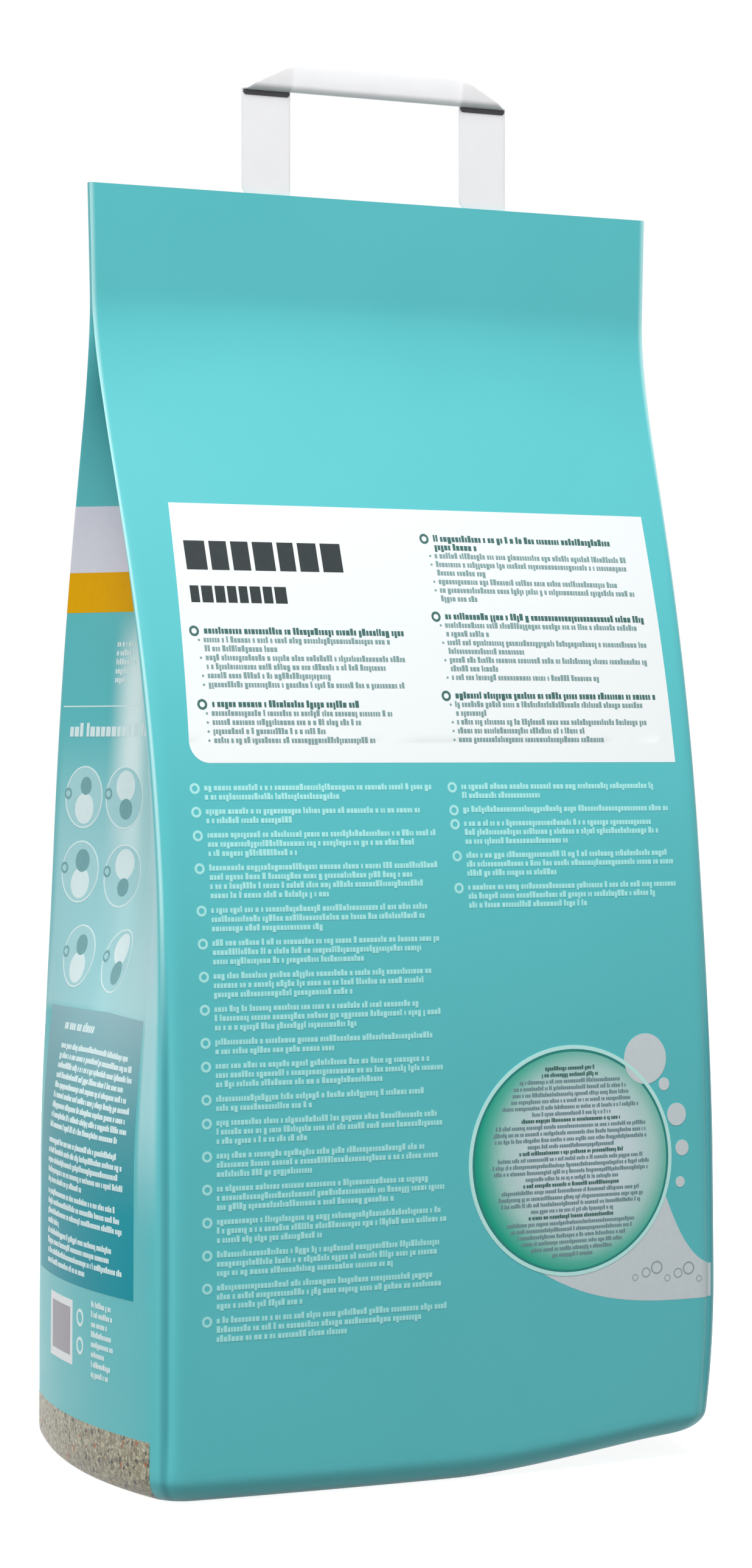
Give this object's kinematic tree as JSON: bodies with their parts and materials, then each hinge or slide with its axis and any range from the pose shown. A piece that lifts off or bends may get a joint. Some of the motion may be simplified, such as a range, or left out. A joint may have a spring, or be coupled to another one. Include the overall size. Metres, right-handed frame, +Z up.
{
  "type": "cat litter bag",
  "caption": "Upright filled film bag with side folds, a block bottom, a flat top seal and a flat strap handle for carrying.",
  "frame": {"origin": "on the floor, under the middle of the bag", "axes": "+X across the two printed faces, -Y out of the information panel, +Z up"},
  "size_m": [0.2588, 0.148, 0.5637],
  "materials": {
    "printed_film": "satin printed polyethylene film",
    "strap_plastic": "smooth extruded white polyethylene strap"
  },
  "bodies": {
    "root": {"bag": "printed_film", "carry_handle": "strap_plastic"}
  },
  "joints": []
}
